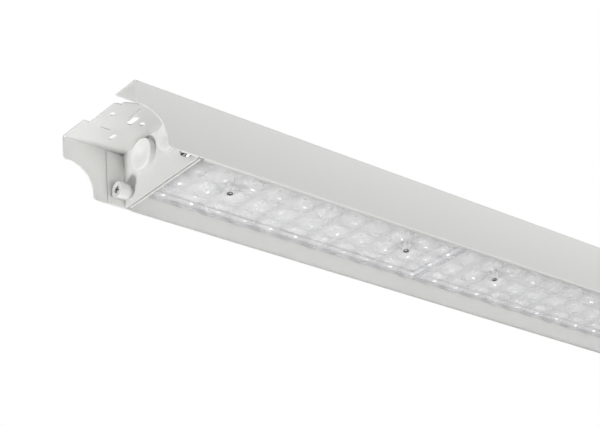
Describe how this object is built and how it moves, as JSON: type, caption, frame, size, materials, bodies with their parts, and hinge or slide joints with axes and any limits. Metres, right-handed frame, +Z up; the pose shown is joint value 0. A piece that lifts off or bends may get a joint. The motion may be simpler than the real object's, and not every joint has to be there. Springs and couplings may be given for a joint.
{
  "type": "led batten light",
  "caption": "Ceiling batten light: folded white sheet channel with recessed clear lens strips, end plates with cable grommets, and open wiring ends with curved cut-outs.",
  "frame": {"origin": "middle of the housing's flat ceiling face", "axes": "+X along the batten, +Y across it, +Z up out of the ceiling face"},
  "size_m": [1.261, 0.09, 0.0462],
  "materials": {
    "white_paint": "fine satin powder coat on steel sheet",
    "clear_lens": "clear moulded acrylic",
    "white_plastic": "white moulded plastic",
    "dark_steel": "black oxide",
    "zinc_steel": "bright zinc plate",
    "board": "white solder mask",
    "led_chip": "yellow phosphor",
    "connector_plastic": "natural white plastic",
    "driver_case": "white moulded case",
    "lead_brown": "insulated lead",
    "lead_green": "insulated lead",
    "lead_red": "insulated lead",
    "lead_black": "insulated lead"
  },
  "bodies": {
    "root": {"housing_channel": "white_paint", "led_tray": "white_paint", "end_plate_left": "white_paint", "end_plate_right": "white_paint", "cable_grommet_near_left": "white_plastic", "cable_grommet_far_left": "white_plastic", "retaining_knob_left": "white_plastic", "knob_screw_left": "zinc_steel", "end_plate_screw_left": "dark_steel", "cable_grommet_near_right": "white_plastic", "cable_grommet_far_right": "white_plastic", "retaining_knob_right": "white_plastic", "knob_screw_right": "zinc_steel", "end_plate_screw_right": "dark_steel", "lens_plate_1": "clear_lens", "led_board_1": "board", "led_chips_1": "led_chip", "board_connector_1": "connector_plastic", "lens_plate_2": "clear_lens", "led_board_2": "board", "led_chips_2": "led_chip", "board_connector_2": "connector_plastic", "lens_plate_3": "clear_lens", "led_board_3": "board", "led_chips_3": "led_chip", "board_connector_3": "connector_plastic", "lens_plate_4": "clear_lens", "led_board_4": "board", "led_chips_4": "led_chip", "board_connector_4": "connector_plastic", "lens_screws": "dark_steel", "spacer_washers": "zinc_steel", "tray_nuts": "zinc_steel", "driver_nuts": "zinc_steel", "earth_nut": "zinc_steel", "led_driver": "driver_case", "terminal_block": "connector_plastic", "mains_leads": "lead_brown", "earth_lead": "lead_green", "board_link_leads": "lead_red", "driver_lead_plus": "lead_red", "driver_lead_minus": "lead_black"}
  },
  "joints": []
}
